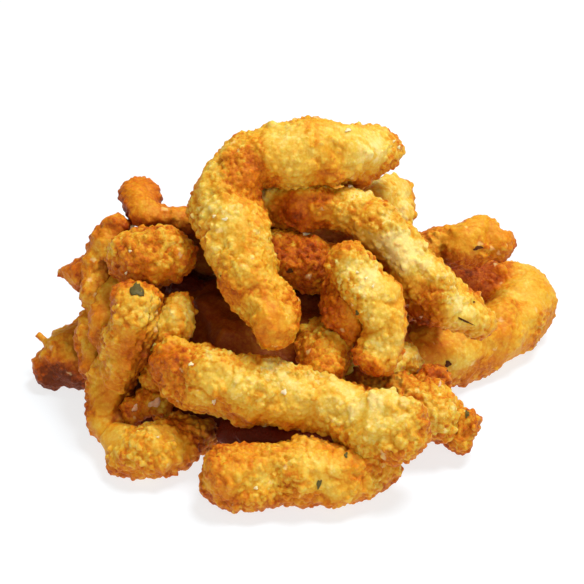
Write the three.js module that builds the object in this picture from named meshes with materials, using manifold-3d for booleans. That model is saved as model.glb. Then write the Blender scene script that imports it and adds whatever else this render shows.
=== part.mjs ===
import * as THREE from 'three';
import { mergeVertices } from 'three/addons/utils/BufferGeometryUtils.js';
import Module from 'manifold-3d';

// A heap of long crumb-coated chicken bites, lying loose as they fell.
// Millimetres, Z up, the front of the heap towards -Y.

// The bites at the front are placed as an onlooker sees them, who stands before the heap
// and looks down on it. A point of a bite is [across, up, height]: across and up are
// measured on a plane that faces the onlooker through the middle of the heap, and
// height is the real height of the point above the table.
const lookDownAngle = THREE.MathUtils.degToRad(30);
const lookDistance = 450;
const lookHeight = 34;

// Moves the finished heap so that the middle of its outline is at x = 0 and y = 0.
const heapShift = new THREE.Vector3(-2.1, -1.9, 0);

// thick is the thickness of a bite in mm, coating included; ends are the shares of it
// that are left at the first and the last point; girth, where a bite has one, is the share
// of it at each point.
const frontBites = [
  { name: 'arch', thick: 17, ends: [1, 1],
    girth: [0.56, 0.9, 1, 1, 0.88, 0.78, 1, 1, 1, 0.91, 0.79, 0.74],
    path: [[23, 35.9, 62.5], [17.2, 35.1, 64.5], [7, 34.8, 67], [-2.8, 34.4, 67],
      [-10, 33.4, 66], [-14, 29.5, 63.5], [-16.8, 23.2, 57.5], [-14.2, 15.5, 53.5],
      [-12.2, 8.5, 49], [-9.8, 2, 44.5], [-5.8, -4, 40.5], [-4.5, -9, 37.5]] },
  { name: 'slope', thick: 12.5, ends: [1, 1],
    girth: [0.96, 0.94, 0.9, 0.94, 0.96, 1, 0.86, 0.68],
    path: [[-7.5, 21.5, 52.5], [2, 21.5, 54], [14.5, 20.5, 53.5], [23.2, 14.5, 49],
      [29.5, 7.5, 43], [37, -0.5, 35], [44, -5.5, 28.5], [47.5, -7.2, 26]] },
  { name: 'nape', thick: 13, ends: [1, 1],
    girth: [0.92, 0.92, 0.94, 0.92],
    path: [[20.5, 21.2, 45], [24.8, 23.1, 44], [24.5, 19.5, 42], [24, 15.5, 38.5]] },
  { name: 'spur', thick: 12.4, ends: [1, 1],
    girth: [0.85, 0.65, 0.75, 0.95, 1.01, 0.65],
    path: [[17, 10, 29], [28, 9.8, 30], [37, 11.8, 31], [42.2, 12, 32], [47.5, 12.9, 32],
      [52.1, 12, 32]] },
  { name: 'hook', thick: 16, ends: [1, 1],
    girth: [0.59, 0.81, 1.03, 1.02, 0.98, 1.05, 0.97],
    path: [[37, 2, 14], [48, 1.5, 12.5], [57.9, -1.4, 10], [53.2, -8.8, 9], [44.5, -13.5, 8.5],
      [35.5, -15.8, 8.8], [28.5, -15.8, 10]] },
  { name: 'claw', thick: 12.6, ends: [1, 1],
    girth: [0.83, 0.95, 0.95, 0.87, 0.91, 0.75],
    path: [[13, 7.5, 48.5], [16.5, 4, 45.5], [21, -2, 40.5], [23, -8.2, 35.5],
      [22.5, -13.2, 31.5], [20.6, -16, 29.2]] },
  { name: 'limb', thick: 10.4, ends: [1, 1],
    girth: [0.87, 0.96, 0.91, 0.82],
    path: [[13.5, 2.5, 39.5], [12.2, -2, 38], [13.5, -5.5, 36], [15.5, -9, 32]] },
  { name: 'block', thick: 16, ends: [1, 1],
    girth: [0.88, 0.94, 0.91],
    path: [[-39.5, 8.5, 42], [-35, 8.9, 43], [-30.5, 9.4, 43.5]] },
  { name: 'mid', thick: 14, ends: [1, 0.85],
    girth: [0.75, 0.89, 1, 0.82],
    path: [[-14, 9, 43], [-7.5, 9.4, 43], [4, 7.5, 41.5], [15, 6, 40]] },
  { name: 'stub', thick: 13, ends: [0.7, 0.9],
    path: [[8.2, -19, 26], [8.2, -14.5, 25], [9, -11.5, 20]] },
  { name: 'front', thick: 17, ends: [1, 1],
    girth: [0.76, 1, 1, 0.91, 0.82, 0.99, 0.96],
    path: [[-30, -17.8, 26], [-22.5, -21, 24.5], [-10.5, -24.5, 22.5], [2, -26.9, 20.5],
      [14.5, -30.1, 19], [22, -32.8, 19], [27.2, -34.8, 18.5]] },
  { name: 'base', thick: 16.6, ends: [1, 1],
    girth: [1.01, 0.99, 0.99, 0.69],
    path: [[-15.5, -46.8, 8], [-4, -45.2, 8], [10.2, -45.5, 8], [21.8, -42.8, 7.4]] },
  { name: 'loop', thick: 14, ends: [1, 1],
    girth: [0.89, 0.96, 0.93, 0.79, 0.59, 0.61, 0.77, 0.96, 1.05, 0.79, 0.61],
    path: [[-38.8, -2.8, 37], [-39.5, -9, 31], [-42.5, -15.8, 23], [-46, -22, 15.5],
      [-46.8, -28.2, 10.5], [-45, -34.4, 6], [-42, -39, 5.6], [-36.8, -40.1, 6.8],
      [-31.2, -38.8, 7.5], [-26.5, -36.5, 7], [-22, -35, 7]] },
  { name: 'tab', thick: 10, ends: [1, 1],
    girth: [0.9, 1, 1, 0.9],
    path: [[-28.2, -4, 34], [-29.5, -8, 31], [-31, -13.5, 25], [-33, -20.5, 18]] },
  { name: 'rise', thick: 9.4, ends: [1, 1],
    girth: [0.82, 0.93, 0.98, 0.96, 0.8],
    path: [[-44, 16.6, 46], [-46, 12.2, 42], [-47.2, 7, 37], [-48, 0.2, 31], [-47.2, -6, 26]] },
  { name: 'wedge', thick: 10.8, ends: [1, 1],
    girth: [0.23, 0.88, 1.06, 1.02],
    path: [[-57.5, 5, 32], [-53.8, 4.9, 32.5], [-49.2, 5.2, 32.5], [-43, 6.5, 32.5]] },
  { name: 'boot', thick: 9.5, ends: [1, 1],
    girth: [0.97, 0.95, 0.79, 0.71, 0.89, 1.32],
    path: [[-37.6, 25.1, 50.5], [-37.2, 21.5, 50], [-33.8, 19.1, 48.5], [-28.5, 18.5, 47],
      [-16.5, 17, 45.5], [-7.5, 17.5, 45]] },
  { name: 'fin', thick: 8.4, ends: [0.8, 0.7],
    path: [[-47.8, -3.5, 25], [-49.7, -11, 21], [-50, -19, 16]] },
  { name: 'heel', thick: 17, ends: [1, 1],
    girth: [0.63, 0.88, 1, 0.88, 0.79],
    path: [[-60, -19, 5], [-55.8, -16.9, 7], [-51.2, -15.1, 7.9], [-44, -12, 10],
      [-37.5, -9.5, 11]] },
  { name: 'bud', thick: 3, ends: [1, 1],
    girth: [0.75, 0.96],
    path: [[-60.8, -13.5, 9], [-63, -11.2, 10.5]] },
  { name: 'slat', thick: 7.6, ends: [0.8, 0.8],
    path: [[-44, 2, 33], [-45.5, -3, 30.5], [-47, -7, 28], [-47, -12, 23]] },
  { name: 'frond', thick: 8, ends: [1, 1],
    girth: [0.69, 1.03, 0.78, 0.94, 0.47],
    path: [[-40.8, -31.8, 8.5], [-38.8, -29.5, 10.5], [-36.2, -27.2, 11.5], [-33.8, -26.8, 11],
      [-32, -24.8, 11]] },
  { name: 'nook', thick: 12.5, ends: [0.8, 0.8],
    path: [[-40, -24, 5], [-36.5, -30, 5], [-24, -31, 5], [-14, -32, 5]] },
  { name: 'deep', thick: 12, ends: [0.8, 0.8],
    path: [[-27, 1, 25], [-19, -6, 21], [-10, -12.5, 19], [-2, -18, 17]] },
  { name: 'under', thick: 9.6, ends: [0.8, 0.8],
    path: [[-15, -35, 10], [-6, -37, 10], [5, -38.5, 10], [16, -38.5, 10]] },
  { name: 'frill', thick: 14, ends: [1, 1],
    girth: [0.71, 0.95, 1.09, 0.88],
    path: [[17, -26, 15], [26, -28.2, 14], [34, -30.4, 12], [38.5, -30.8, 9.6]] },
  { name: 'tuft', thick: 8.6, ends: [1, 1],
    girth: [0.81, 0.96, 0.96],
    path: [[40, -30.2, 10.5], [42.8, -33.2, 8.5], [43, -36.6, 6]] },
  { name: 'curl', thick: 6.8, ends: [1, 1],
    girth: [0.81, 1.03, 0.85],
    path: [[32.8, -23.5, 15.5], [34.8, -21.2, 17], [37.2, -22.2, 15.5]] },
  { name: 'lump', thick: 9.6, ends: [1, 1],
    girth: [0.83, 1.04, 1.09],
    path: [[14, -20, 19], [21.5, -19.1, 19], [27.5, -18, 17.5]] },
  { name: 'rib', thick: 12, ends: [0.8, 0.8],
    path: [[26, 9, 33], [31, 2.5, 28], [34.5, -4.5, 24.5]] },
];

// The bites at the back are placed by their real x, y and z.
const backBites = [
  { name: 'back_low', thick: 14.8, ends: [0.7, 0.8],
    path: [[-36, 31, 7], [-22, 39, 6.8], [-6, 40, 6.8], [8, 36, 7]] },
  { name: 'back_lean', thick: 14.4, ends: [0.7, 0.8],
    path: [[22, 50, 6.3], [14, 43, 15], [3, 35, 24], [-9, 27, 33]] },
  { name: 'back_middle', thick: 14.4, ends: [0.7, 0.8],
    path: [[-37, 22, 20], [-24, 28, 21], [-10, 27, 19]] },
  { name: 'back_high', thick: 13.6, ends: [0.7, 0.8],
    path: [[-37, 17, 34.5], [-26, 21, 36], [-15, 18, 34]] },
  { name: 'back_top', thick: 12.4, ends: [0.7, 0.8],
    path: [[-8, 25, 44], [2, 29.5, 43], [12, 32.5, 41.5], [19, 33.5, 40.5]] },
  { name: 'back_right', thick: 14, ends: [0.7, 0.8],
    path: [[32, 45, 6.2], [28, 34, 7.5], [21, 22, 11]] },
  { name: 'back_side', thick: 12.8, ends: [0.7, 0.8],
    path: [[4, 20, 24], [13, 25, 21], [22, 30, 19], [29, 33, 17.5]] },
  { name: 'back_cross', thick: 12.8, ends: [0.7, 0.9],
    path: [[-4, 14, 34], [6, 17, 36], [16, 20, 36]] },
  { name: 'inner', thick: 14, ends: [0.8, 0.8],
    path: [[-30, -4, 8], [-16, 3, 8], [0, 7, 8], [14, 9, 8]] },
];

// The buried middle of the heap: a low lumpy mound that the bites lie round.
const coreCentre = new THREE.Vector3(-2, 9, 17);
const coreRadii = new THREE.Vector3(33, 21, 14);
const coreLumpHeight = 1.6;
const coreSides = 22;
const coreRings = 12;

const thinBite = 10.5;
const sidesOfThin = 9;
const sidesOfThick = 12;
const ringSpacing = 6.1;
const endBulge = 0.8;
const endRoundness = 2.2;
const endRingShares = [1, 0.88, 0.5];
const taperShare = 0.3;
const taperPower = 1.5;
const facetAllowance = 1.02;
const lumpHeight = 0.5;
const lumpLength = 11;
const swells = [
  { along: 'x', rate: 1, across: 'y', bend: 1.7, bendRate: 0.6 },
  { along: 'y', rate: 1.1, across: 'z', bend: 1.3, bendRate: 0.7 },
  { along: 'z', rate: 0.9, across: 'x', bend: 1.9, bendRate: 0.5 },
];
const cragHeight = 0.3;
const cragMix = new THREE.Vector3(12.9898, 78.233, 37.719);
const cragSpread = 43758.5453;
const fullReliefRadius = 4;
const curveTension = 0.5;
const lengthSamples = 400;
const mergeDistance = 1e-4;
const roomWidth = 300;

const lookForward = new THREE.Vector3(0, Math.cos(lookDownAngle), -Math.sin(lookDownAngle));
const lookRight = new THREE.Vector3(1, 0, 0);
const lookUp = new THREE.Vector3(0, Math.sin(lookDownAngle), Math.cos(lookDownAngle));
const onlooker = new THREE.Vector3(0, 0, lookHeight).addScaledVector(lookForward, -lookDistance);

function placeSeen([across, up, height]) {
  const sight = new THREE.Vector3()
    .addScaledVector(lookForward, lookDistance)
    .addScaledVector(lookRight, across)
    .addScaledVector(lookUp, up);
  const reach = (height - onlooker.z) / sight.z;
  return onlooker.clone().addScaledVector(sight, reach);
}

// A bite further from the onlooker than the middle of the heap is really larger than
// it looks.
function trueScale(point) {
  return point.clone().sub(onlooker).dot(lookForward) / lookDistance;
}

// Gentle swells, one every lumpLength or so, that are never quite alike.
function smoothLumps(point) {
  const turn = (2 * Math.PI) / lumpLength;
  let height = 0;
  for (const { along, rate, across, bend, bendRate } of swells) {
    height += Math.sin(point[along] * turn * rate + bend * Math.sin(point[across] * turn * bendRate));
  }
  return height / 2;
}

// A random but repeatable number from -1 to 1 for each point.
function crags(point) {
  const mixed = Math.sin(point.dot(cragMix)) * cragSpread;
  return 2 * (mixed - Math.floor(mixed)) - 1;
}

function taper(share, [first, last]) {
  const nearFirst = Math.max(0, 1 - share / taperShare) ** taperPower;
  const nearLast = Math.max(0, 1 - (1 - share) / taperShare) ** taperPower;
  return 1 - (1 - first) * nearFirst - (1 - last) * nearLast;
}

function girthAt(bite, place) {
  if (!bite.girth) {
    return 1;
  }
  const before = Math.min(Math.floor(place), bite.girth.length - 2);
  return THREE.MathUtils.lerp(bite.girth[before], bite.girth[before + 1], place - before);
}

function openGeometry(geometry) {
  geometry.deleteAttribute('normal');
  geometry.deleteAttribute('uv');
  return mergeVertices(geometry, mergeDistance);
}

// A bite is a sphere drawn out along its path: the latitude becomes the place along the
// path and the longitude the place round it.
function biteGeometry(bite, points, scaleAt) {
  const curve = new THREE.CatmullRomCurve3(points, false, 'catmullrom', curveTension);
  curve.arcLengthDivisions = lengthSamples;
  const length = curve.getLength();
  const radiusAt = (share) => {
    const scale = scaleAt(curve.getPointAt(share));
    const girth = girthAt(bite, curve.getUtoTmapping(share) * (points.length - 1));
    return (bite.thick / 2) * facetAllowance * taper(share, bite.ends) * girth * scale;
  };
  const bodyRings = Math.max(2, Math.round(length / ringSpacing));
  const firstBulge = endBulge * radiusAt(0);
  const lastBulge = endBulge * radiusAt(1);
  const frames = curve.computeFrenetFrames(bodyRings, false);

  const makeRing = (step, beyond) => {
    const share = step / bodyRings;
    const outward = step === 0 ? -firstBulge : lastBulge;
    const tangent = frames.tangents[step];
    return {
      centre: curve.getPointAt(share).addScaledVector(tangent, beyond * outward),
      radius: radiusAt(share) * Math.sqrt(1 - beyond ** endRoundness),
      side: frames.normals[step],
      other: frames.binormals[step],
    };
  };
  const rings = endRingShares.map((beyond) => makeRing(0, beyond));
  for (let step = 0; step <= bodyRings; step += 1) {
    rings.push(makeRing(step, 0));
  }
  rings.push(...[...endRingShares].reverse().map((beyond) => makeRing(bodyRings, beyond)));

  const lastRing = rings.length - 1;
  const sidesRound = bite.thick < thinBite ? sidesOfThin : sidesOfThick;
  const geometry = openGeometry(new THREE.SphereGeometry(1, sidesRound, lastRing));
  const place = geometry.getAttribute('position');
  const unit = new THREE.Vector3();
  for (let i = 0; i < place.count; i += 1) {
    unit.fromBufferAttribute(place, i);
    const latitude = Math.acos(THREE.MathUtils.clamp(-unit.y, -1, 1)) / Math.PI;
    const ring = rings[Math.round(latitude * lastRing)];
    const round = Math.atan2(unit.x, unit.z);
    const away = ring.side.clone().multiplyScalar(Math.cos(round));
    away.addScaledVector(ring.other, Math.sin(round));
    const target = ring.centre.clone().addScaledVector(away, ring.radius);
    const relief = lumpHeight * smoothLumps(target) + cragHeight * crags(target);
    const fade = Math.min(1, ring.radius / fullReliefRadius);
    target.addScaledVector(away, relief * fade);
    place.setXYZ(i, target.x, target.y, target.z);
  }
  return geometry;
}

function coreGeometry() {
  const geometry = openGeometry(new THREE.SphereGeometry(1, coreSides, coreRings));
  const place = geometry.getAttribute('position');
  const target = new THREE.Vector3();
  for (let i = 0; i < place.count; i += 1) {
    target.fromBufferAttribute(place, i);
    const away = target.clone();
    target.multiply(coreRadii).add(coreCentre);
    target.addScaledVector(away, coreLumpHeight * smoothLumps(target));
    place.setXYZ(i, target.x, target.y, target.z);
  }
  return geometry;
}

const wasm = await Module();
wasm.setup();

function toSolid(geometry) {
  const vertProperties = Float32Array.from(geometry.getAttribute('position').array);
  const triVerts = Uint32Array.from(geometry.getIndex().array);
  return new wasm.Manifold(new wasm.Mesh({ numProp: 3, vertProperties, triVerts }));
}

// The one closed skin that goes round the whole heap. Pockets sealed inside it are filled.
function outerSkin(mesh) {
  const { numProp, vertProperties, triVerts } = mesh;
  const vertexCount = vertProperties.length / numProp;
  const owner = Int32Array.from({ length: vertexCount }, (_, i) => i);
  const root = (i) => {
    let at = i;
    while (owner[at] !== at) {
      owner[at] = owner[owner[at]];
      at = owner[at];
    }
    return at;
  };
  for (let t = 0; t < triVerts.length; t += 3) {
    owner[root(triVerts[t + 1])] = root(triVerts[t]);
    owner[root(triVerts[t + 2])] = root(triVerts[t]);
  }
  const corner = (i) => new THREE.Vector3().fromArray(vertProperties, i * numProp);
  const volumes = new Map();
  for (let t = 0; t < triVerts.length; t += 3) {
    const [a, b, c] = [triVerts[t], triVerts[t + 1], triVerts[t + 2]].map(corner);
    const skin = root(triVerts[t]);
    volumes.set(skin, (volumes.get(skin) || 0) + a.dot(b.cross(c)) / 6);
  }
  const largest = [...volumes.entries()].sort((p, q) => q[1] - p[1])[0][0];
  const kept = [];
  for (let t = 0; t < triVerts.length; t += 3) {
    if (root(triVerts[t]) === largest) {
      kept.push(triVerts[t], triVerts[t + 1], triVerts[t + 2]);
    }
  }
  const position = new Float32Array(vertexCount * 3);
  for (let i = 0; i < vertexCount; i += 1) {
    corner(i).toArray(position, i * 3);
  }
  const geometry = new THREE.BufferGeometry();
  geometry.setAttribute('position', new THREE.BufferAttribute(position, 3));
  geometry.setIndex(kept);
  return geometry;
}

let heap = toSolid(coreGeometry());
for (const bite of frontBites) {
  heap = heap.add(toSolid(biteGeometry(bite, bite.path.map(placeSeen), trueScale)));
}
for (const bite of backBites) {
  const points = bite.path.map((point) => new THREE.Vector3(...point));
  heap = heap.add(toSolid(biteGeometry(bite, points, () => 1)));
}

// The table cuts small flat spots on the bites that rest on it.
const room = openGeometry(new THREE.BoxGeometry(roomWidth, roomWidth, roomWidth));
room.translate(0, 0, roomWidth / 2);
heap = heap.intersect(toSolid(room));

const skin = outerSkin(heap.getMesh());
skin.translate(heapShift.x, heapShift.y, heapShift.z);
skin.computeVertexNormals();

const crumbCoating = new THREE.MeshStandardMaterial({ color: 0xd79a3c, roughness: 0.7 });
const heapMesh = new THREE.Mesh(skin, crumbCoating);
heapMesh.name = 'heap';

const part = new THREE.Group();
part.add(heapMesh);
export default part;
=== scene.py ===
# A heap of long crumb-coated chicken bites, lying loose as they fell on a plain white table.
# The bites are worked out in millimetres, Z up, and turned into metres when a mesh is made.
import itertools
import math
import bmesh
import bpy
import numpy as np
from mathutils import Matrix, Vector
from mathutils.kdtree import KDTree


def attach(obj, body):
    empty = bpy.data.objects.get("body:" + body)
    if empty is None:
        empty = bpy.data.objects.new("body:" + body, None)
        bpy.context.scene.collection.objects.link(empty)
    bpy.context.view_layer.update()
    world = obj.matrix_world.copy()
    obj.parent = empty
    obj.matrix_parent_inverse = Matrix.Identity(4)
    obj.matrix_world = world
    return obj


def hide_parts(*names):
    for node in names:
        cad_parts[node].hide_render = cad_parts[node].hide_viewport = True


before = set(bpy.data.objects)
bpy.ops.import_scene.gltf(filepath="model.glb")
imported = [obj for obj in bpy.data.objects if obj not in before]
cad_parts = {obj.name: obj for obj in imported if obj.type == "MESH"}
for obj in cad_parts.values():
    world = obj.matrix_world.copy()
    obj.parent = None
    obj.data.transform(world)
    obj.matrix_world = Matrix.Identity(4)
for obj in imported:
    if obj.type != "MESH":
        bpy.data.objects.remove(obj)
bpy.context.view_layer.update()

MM = 0.001
TINY = 1e-9

# The onlooker stands before the heap and looks down on it. A point of a front bite is
# (across, up, height): across and up are measured on a plane that faces the onlooker
# through the middle of the heap, and height is the real height above the table.
LOOK_DOWN = math.radians(30)
LOOK_DISTANCE = 450.0
LOOK_HEIGHT = 34.0
FORWARD = np.array([0.0, math.cos(LOOK_DOWN), -math.sin(LOOK_DOWN)])
RIGHT = np.array([1.0, 0.0, 0.0])
UPWARD = np.array([0.0, math.sin(LOOK_DOWN), math.cos(LOOK_DOWN)])
ONLOOKER = np.array([0.0, 0.0, LOOK_HEIGHT]) - LOOK_DISTANCE * FORWARD

# Brings the middle of the heap's outline over the origin.
HEAP_SHIFT = np.array([-2.1, -1.9, 0.0])

# The picture is a square of this many pixels, and this many of them are one millimetre
# at the middle of the heap.
PICTURE_SIDE = 584
PIXELS_PER_MM = 4.0

# thick is the thickness in mm, coating included, and toast how brown the coating is, from 0
# to 1. A point of the path ends with the share of the thickness left there, and ends are the
# shares left at the two ends.
FRONT_BITES = {
    "arch": dict(thick=17, toast=0.4, path=[(23, 35.9, 62.5, 0.56), (17.2, 35.1, 64.5, 0.9),
        (7, 34.8, 67, 1), (-2.8, 34.4, 67, 1), (-10, 33.4, 66, 0.88), (-14, 29.5, 63.5, 0.78),
        (-16.8, 23.2, 57.5, 1), (-14.2, 15.5, 53.5, 1), (-12.2, 8.5, 49, 1), (-9.8, 2, 44.5, 0.91),
        (-5.8, -4, 40.5, 0.79), (-4.5, -9, 37.5, 0.74)]),
    "slope": dict(thick=12.5, toast=0.3, path=[(-7.5, 21.5, 52.5, 0.96), (2, 21.5, 54, 0.94),
        (14.5, 20.5, 53.5, 0.9), (23.2, 14.5, 49, 0.94), (29.5, 7.5, 43, 0.96), (37, -0.5, 35, 1),
        (44, -5.5, 28.5, 0.86), (47.5, -7.2, 26, 0.68)]),
    "nape": dict(thick=13, toast=0.35, path=[(20.5, 21.2, 45, 0.92), (24.8, 23.1, 44, 0.92),
        (24.5, 19.5, 42, 0.94), (24, 15.5, 38.5, 0.92)]),
    "spur": dict(thick=12.4, toast=0.52, path=[(17, 10, 29, 0.85), (28, 9.8, 30, 0.65),
        (37, 11.8, 31, 0.75), (42.2, 12, 32, 0.95), (47.5, 12.9, 32, 1.01), (52.1, 12, 32, 0.65)]),
    "hook": dict(thick=16, toast=0.48, path=[(37, 2, 14, 0.59), (48, 1.5, 12.5, 0.81),
        (57.9, -1.4, 10, 1.03), (53.2, -8.8, 9, 1.02), (44.5, -13.5, 8.5, 0.98),
        (35.5, -15.8, 8.8, 1.05), (28.5, -15.8, 10, 0.97)]),
    "claw": dict(thick=12.6, toast=0.33, path=[(13, 7.5, 48.5, 0.83), (16.5, 4, 45.5, 0.95),
        (21, -2, 40.5, 0.95), (23, -8.2, 35.5, 0.87), (22.5, -13.2, 31.5, 0.91),
        (20.6, -16, 29.2, 0.75)]),
    "limb": dict(thick=10.4, toast=0.6, path=[(13.5, 2.5, 39.5, 0.87), (12.2, -2, 38, 0.96),
        (13.5, -5.5, 36, 0.91), (15.5, -9, 32, 0.82)]),
    "block": dict(thick=16, toast=0.52, path=[(-39.5, 8.5, 42, 0.88), (-35, 8.9, 43, 0.94),
        (-30.5, 9.4, 43.5, 0.91)]),
    "mid": dict(thick=14, ends=(1, 0.85), toast=0.57, path=[(-14, 9, 43, 0.75), (-7.5, 9.4, 43, 0.89),
        (4, 7.5, 41.5, 1), (15, 6, 40, 0.82)]),
    "stub": dict(thick=13, ends=(0.7, 0.9), toast=0.38, path=[(8.2, -19, 26, 1), (8.2, -14.5, 25, 1),
        (9, -11.5, 20, 1)]),
    "front": dict(thick=17, toast=0.36, path=[(-30, -17.8, 26, 0.76), (-22.5, -21, 24.5, 1),
        (-10.5, -24.5, 22.5, 1), (2, -26.9, 20.5, 0.91), (14.5, -30.1, 19, 0.82), (22, -32.8, 19, 0.99),
        (27.2, -34.8, 18.5, 0.96)]),
    "base": dict(thick=16.6, toast=0.45, path=[(-15.5, -46.8, 8, 1.01), (-4, -45.2, 8, 0.99),
        (10.2, -45.5, 8, 0.99), (21.8, -42.8, 7.4, 0.69)]),
    "loop": dict(thick=14, toast=0.45, path=[(-38.8, -2.8, 37, 0.89), (-39.5, -9, 31, 0.96),
        (-42.5, -15.8, 23, 0.93), (-46, -22, 15.5, 0.79), (-46.8, -28.2, 10.5, 0.59),
        (-45, -34.4, 6, 0.61), (-42, -39, 5.6, 0.77), (-36.8, -40.1, 6.8, 0.96),
        (-31.2, -38.8, 7.5, 1.05), (-26.5, -36.5, 7, 0.79), (-22, -35, 7, 0.61)]),
    "tab": dict(thick=10, toast=0.44, path=[(-28.2, -4, 34, 0.9), (-29.5, -8, 31, 1),
        (-31, -13.5, 25, 1), (-33, -20.5, 18, 0.9)]),
    "rise": dict(thick=9.4, toast=0.52, path=[(-44, 16.6, 46, 0.82), (-46, 12.2, 42, 0.93),
        (-47.2, 7, 37, 0.98), (-48, 0.2, 31, 0.96), (-47.2, -6, 26, 0.8)]),
    "wedge": dict(thick=10.8, toast=0.6, path=[(-57.5, 5, 32, 0.23), (-53.8, 4.9, 32.5, 0.88),
        (-49.2, 5.2, 32.5, 1.06), (-43, 6.5, 32.5, 1.02)]),
    "boot": dict(thick=9.5, toast=0.68, path=[(-37.6, 25.1, 50.5, 0.97), (-37.2, 21.5, 50, 0.95),
        (-33.8, 19.1, 48.5, 0.79), (-28.5, 18.5, 47, 0.71), (-16.5, 17, 45.5, 0.89),
        (-7.5, 17.5, 45, 1.32)]),
    "fin": dict(thick=8.4, ends=(0.8, 0.7), toast=0.56, path=[(-47.8, -3.5, 25, 1), (-49.7, -11, 21, 1),
        (-50, -19, 16, 1)]),
    "heel": dict(thick=17, toast=0.55, path=[(-60, -19, 5, 0.63), (-55.8, -16.9, 7, 0.88),
        (-51.2, -15.1, 7.9, 1), (-44, -12, 10, 0.88), (-37.5, -9.5, 11, 0.79)]),
    "bud": dict(thick=3, toast=0.55, path=[(-60.8, -13.5, 9, 0.75), (-63, -11.2, 10.5, 0.96)]),
    "slat": dict(thick=7.6, ends=(0.8, 0.8), toast=0.6, path=[(-44, 2, 33, 1), (-45.5, -3, 30.5, 1),
        (-47, -7, 28, 1), (-47, -12, 23, 1)]),
    "frond": dict(thick=8, toast=0.6, path=[(-40.8, -31.8, 8.5, 0.69), (-38.8, -29.5, 10.5, 1.03),
        (-36.2, -27.2, 11.5, 0.78), (-33.8, -26.8, 11, 0.94), (-32, -24.8, 11, 0.47)]),
    # nook, deep and under lie inside the heap; their high toast is partly painted shade there.
    "nook": dict(thick=12.5, ends=(0.8, 0.8), toast=0.85, path=[(-40, -24, 5, 1), (-36.5, -30, 5, 1),
        (-24, -31, 5, 1), (-14, -32, 5, 1)]),
    "deep": dict(thick=12, ends=(0.8, 0.8), toast=0.8, path=[(-27, 1, 25, 1), (-19, -6, 21, 1),
        (-10, -12.5, 19, 1), (-2, -18, 17, 1)]),
    "under": dict(thick=9.6, ends=(0.8, 0.8), toast=0.75, path=[(-15, -35, 10, 1), (-6, -37, 10, 1),
        (5, -38.5, 10, 1), (16, -38.5, 10, 1)]),
    "frill": dict(thick=14, toast=0.45, path=[(17, -26, 15, 0.71), (26, -28.2, 14, 0.95),
        (34, -30.4, 12, 1.09), (38.5, -30.8, 9.6, 0.88)]),
    "tuft": dict(thick=8.6, toast=0.48, path=[(40, -30.2, 10.5, 0.81), (42.8, -33.2, 8.5, 0.96),
        (43, -36.6, 6, 0.96)]),
    "curl": dict(thick=6.8, toast=0.52, path=[(32.8, -23.5, 15.5, 0.81), (34.8, -21.2, 17, 1.03),
        (37.2, -22.2, 15.5, 0.85)]),
    "lump": dict(thick=9.6, toast=0.22, path=[(14, -20, 19, 0.83), (21.5, -19.1, 19, 1.04),
        (27.5, -18, 17.5, 1.09)]),
    "rib": dict(thick=12, ends=(0.8, 0.8), toast=0.5, path=[(26, 9, 33, 1), (31, 2.5, 28, 1),
        (34.5, -4.5, 24.5, 1)]),
}

# The bites at the back are placed by their real x, y and z. A bite without ends has these.
BACK_ENDS = (0.7, 0.8)
FRONT_ENDS = (1, 1)
BACK_BITES = {
    "back_low": dict(thick=14.8, toast=0.45, path=[(-36, 31, 7, 1), (-22, 39, 6.8, 1), (-6, 40, 6.8, 1),
        (8, 36, 7, 1)]),
    "back_lean": dict(thick=14.4, toast=0.38, path=[(22, 50, 6.3, 1), (14, 43, 15, 1), (3, 35, 24, 1),
        (-9, 27, 33, 1)]),
    "back_middle": dict(thick=14.4, toast=0.5, path=[(-37, 22, 20, 1), (-24, 28, 21, 1),
        (-10, 27, 19, 1)]),
    "back_high": dict(thick=13.6, toast=0.42, path=[(-37, 17, 34.5, 1), (-26, 21, 36, 1),
        (-15, 18, 34, 1)]),
    "back_top": dict(thick=12.4, toast=0.4, path=[(-8, 25, 44, 1), (2, 29.5, 43, 1),
        (12, 32.5, 41.5, 1), (19, 33.5, 40.5, 1)]),
    "back_right": dict(thick=14, toast=0.5, path=[(32, 45, 6.2, 1), (28, 34, 7.5, 1), (21, 22, 11, 1)]),
    "back_side": dict(thick=12.8, toast=0.45, path=[(4, 20, 24, 1), (13, 25, 21, 1), (22, 30, 19, 1),
        (29, 33, 17.5, 1)]),
    "back_cross": dict(thick=12.8, ends=(0.7, 0.9), toast=0.6, path=[(-4, 14, 34, 1), (6, 17, 36, 1),
        (16, 20, 36, 1)]),
    # inner lies inside the heap; its high toast is partly painted shade there.
    "inner": dict(thick=14, ends=(0.8, 0.8), toast=0.8, path=[(-30, -4, 8, 1), (-16, 3, 8, 1),
        (0, 7, 8, 1), (14, 9, 8, 1)]),
}

# The buried middle of the heap. Its high toast is partly painted shade deep inside the heap.
CORE_CENTRE = np.array([-2.0, 9.0, 17.0])
CORE_RADII = np.array([33.0, 21.0, 14.0])
CORE_LUMP = 1.6
CORE_LEVEL = 5
CORE_SEED = 90
CORE_TOAST_AND_SHADE = 0.8

# The tube of a bite: its rings, its sides and its round ends. A ring beyond the path lies
# at its share of the bulge, and roundness says how square the end is.
RING_SPACING = 0.9
SIDE_SPACING = 0.9
LEAST_RINGS = 6
LEAST_SIDES = 12
PATH_STEPS = 60
END_BULGE = 0.8
END_ROUNDNESS = 2.2
END_RINGS = (1.0, 0.985, 0.94, 0.86, 0.74, 0.58, 0.4, 0.2)
TAPER_SHARE = 0.3
TAPER_POWER = 1.5
SIDE_HINT = (0.3, 0.2, 0.9)

# The tube lies this deep under the crust, and keeps at least this share of its radius.
CRUST_DEPTH = 0.45
LEAST_SHARE = 0.5

# Random relief: its height, the length of a lump in mm, and a number of its own, so that no
# two are alike. A tube thinner than the full radius has less of it.
BUMPS = (0.75, 8.0, 0)
DENTS = (0.5, 3.6, 11)
FOLDS = (1.0, 6.5, 17)
FOLD_WIDTH = 0.15
FOLD_DEPTH = 0.45
FULL_RADIUS = 4.0

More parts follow.
